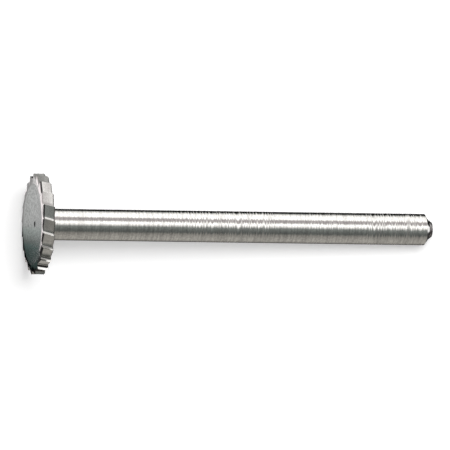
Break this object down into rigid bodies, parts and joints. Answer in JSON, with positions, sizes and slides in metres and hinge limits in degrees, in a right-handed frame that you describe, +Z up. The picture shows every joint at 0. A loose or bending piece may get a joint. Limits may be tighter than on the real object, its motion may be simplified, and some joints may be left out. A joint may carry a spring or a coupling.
{
  "type": "rotary tool slotting cutter",
  "caption": "Thin saw-toothed steel disc on a plain round shank with a chamfered end, for cutting slots and grooves with a handheld rotary tool.",
  "frame": {"origin": "middle of the bounding box, on the surface that the cutter lies on", "axes": "+X runs from the toothed head towards the end of the shank, whose axis dips by about 5 degrees; +Z is up"},
  "size_m": [0.0418, 0.0102, 0.0102],
  "materials": {
    "bright_steel": "bright tool steel, fine turning marks round the shank and ground tooth faces"
  },
  "bodies": {
    "root": {"cutter": "bright_steel"}
  },
  "joints": []
}
